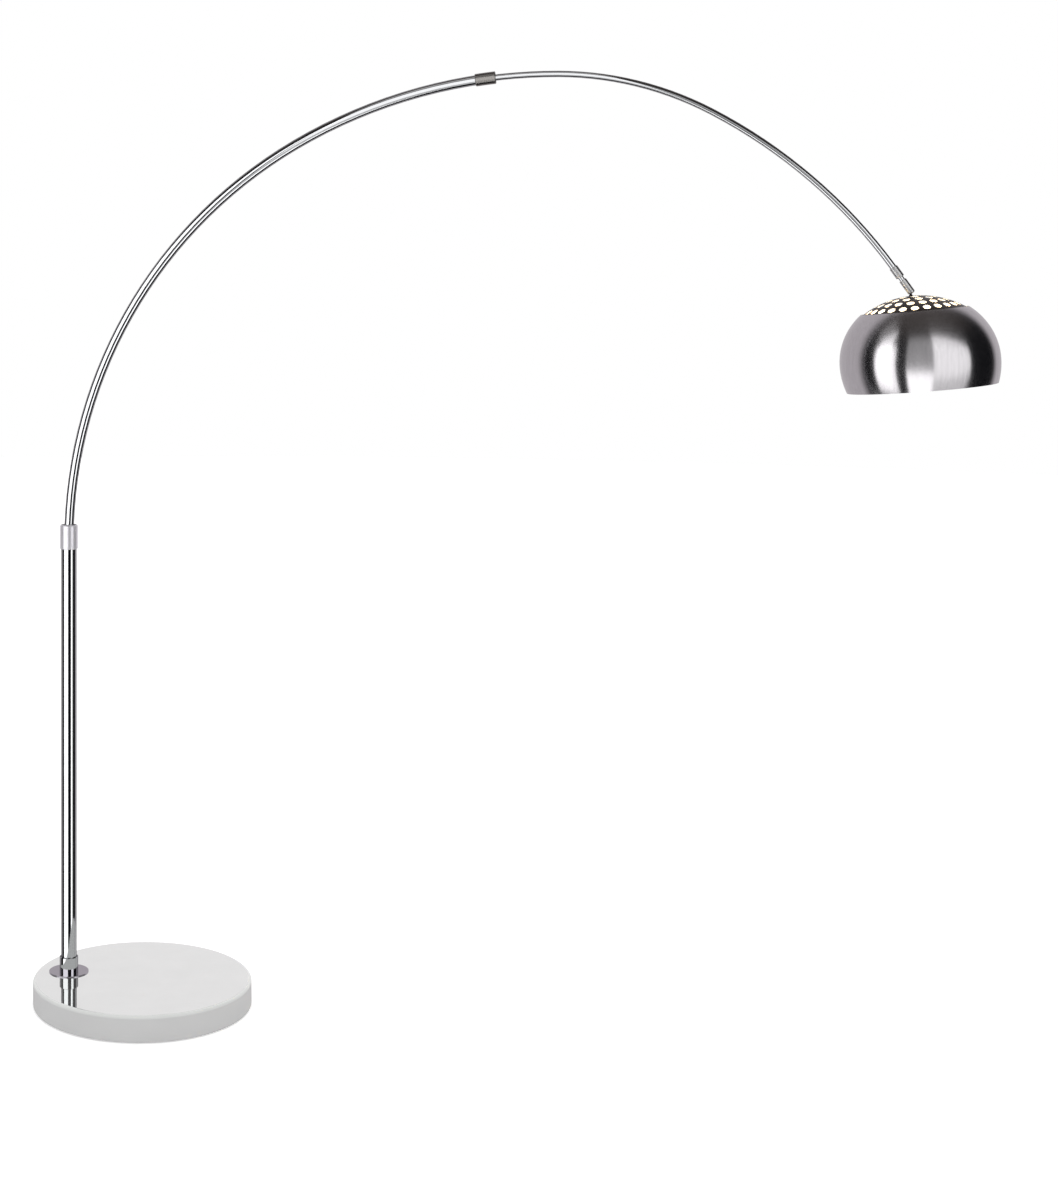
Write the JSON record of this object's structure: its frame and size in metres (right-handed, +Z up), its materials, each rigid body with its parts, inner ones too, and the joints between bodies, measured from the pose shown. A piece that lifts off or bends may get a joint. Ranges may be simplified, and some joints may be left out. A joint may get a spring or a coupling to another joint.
{
  "type": "arc floor lamp",
  "caption": "Floor lamp with a round base, an upright pole, a telescoping arc of chromed tube, and an open dome that rests on a perforated cap.",
  "frame": {"origin": "centre of the base's underside, on the floor", "axes": "+Z up; +X from the pole towards the head, along the arc; the arc lies in the plane Y = 0"},
  "size_m": [1.891, 0.45, 1.9045],
  "materials": {
    "white_stone": "polished, white",
    "felt": "pressed felt",
    "zinc_steel": "zinc plated",
    "black_plastic": "moulded",
    "rubber": "matt",
    "wire_sheath": "extruded",
    "chrome": "polished",
    "satin_steel": "fine turned",
    "nylon": "machined",
    "black_steel": "blackened",
    "brass": "turned",
    "dark_bronze": "dark satin",
    "spun_aluminium": "spun and polished",
    "ceramic": "unglazed",
    "opal_glass": "opal"
  },
  "bodies": {
    "root": {"base_disc": "white_stone", "base_pad": "felt", "base_cover": "zinc_steel", "pole_stud": "zinc_steel", "base_washer": "zinc_steel", "base_nut": "zinc_steel", "terminal_block": "black_plastic", "cord_gland": "rubber", "pole_wire": "wire_sheath", "pole_flange": "chrome", "pole_socket": "chrome", "pole_foot_plug": "zinc_steel", "pole_tube": "chrome", "pole_collar": "satin_steel", "pole_guide_bush": "nylon", "pole_collar_screw": "black_steel"},
    "mast": {"mast_guide": "nylon"},
    "lower_arc": {"lower_arc_tube": "chrome", "tail_snap_rings": "zinc_steel", "lower_arc_wire": "wire_sheath", "arc_collar": "satin_steel", "arc_guide_bush": "nylon", "arc_collar_screw": "black_steel"},
    "upper_arc": {"upper_arc_tube": "chrome", "upper_arc_wire": "wire_sheath", "arc_tail_guide": "nylon", "arm_end_ferrule": "satin_steel", "neck_spigot": "chrome", "spigot_nut": "brass"},
    "barrel": {"swivel_barrel": "satin_steel", "tilt_pin": "zinc_steel"},
    "head": {"head_stem": "black_steel", "stem_nut": "black_steel", "vent_cap": "dark_bronze", "cap_washer": "zinc_steel", "cap_nut": "zinc_steel", "lampholder_cap": "black_plastic", "lampholder_shell": "black_plastic", "lampholder_core": "ceramic", "lampholder_contact": "brass", "bulb_screw_cap": "zinc_steel", "bulb_globe": "opal_glass"},
    "dome": {"dome_shade": "spun_aluminium", "dome_rest_ring": "rubber"}
  },
  "joints": [
    {"name": "mast_height", "type": "slide", "parent": "root", "child": "mast", "axis": [0, 0, 1], "range_m": [0, 0.15]},
    {"name": "mast_swivel", "type": "hinge", "parent": "mast", "child": "lower_arc", "pos_m": [-0.1574, 0, 0.94], "axis": [0, 0, 1], "range_deg": [-170, 170]},
    {"name": "arc_extension", "type": "hinge", "parent": "lower_arc", "child": "upper_arc", "pos_m": [0.81856, 0, 0.8847], "axis": [0, 1, 0], "range_deg": [-6, 6]},
    {"name": "barrel_turn", "type": "hinge", "parent": "upper_arc", "child": "barrel", "pos_m": [1.5046, 0, 1.46834], "axis": [0.5707, 0, -0.8211], "range_deg": [-170, 170]},
    {"name": "head_tilt", "type": "hinge", "parent": "barrel", "child": "head", "pos_m": [1.5046, 0, 1.46834], "axis": [0, 1, 0], "range_deg": [-40, 30]},
    {"name": "dome_tilt", "type": "hinge", "parent": "head", "child": "dome", "pos_m": [1.52451, 0, 1.29629], "axis": [0, 1, 0], "range_deg": [-3.8, 1.2]}
  ]
}
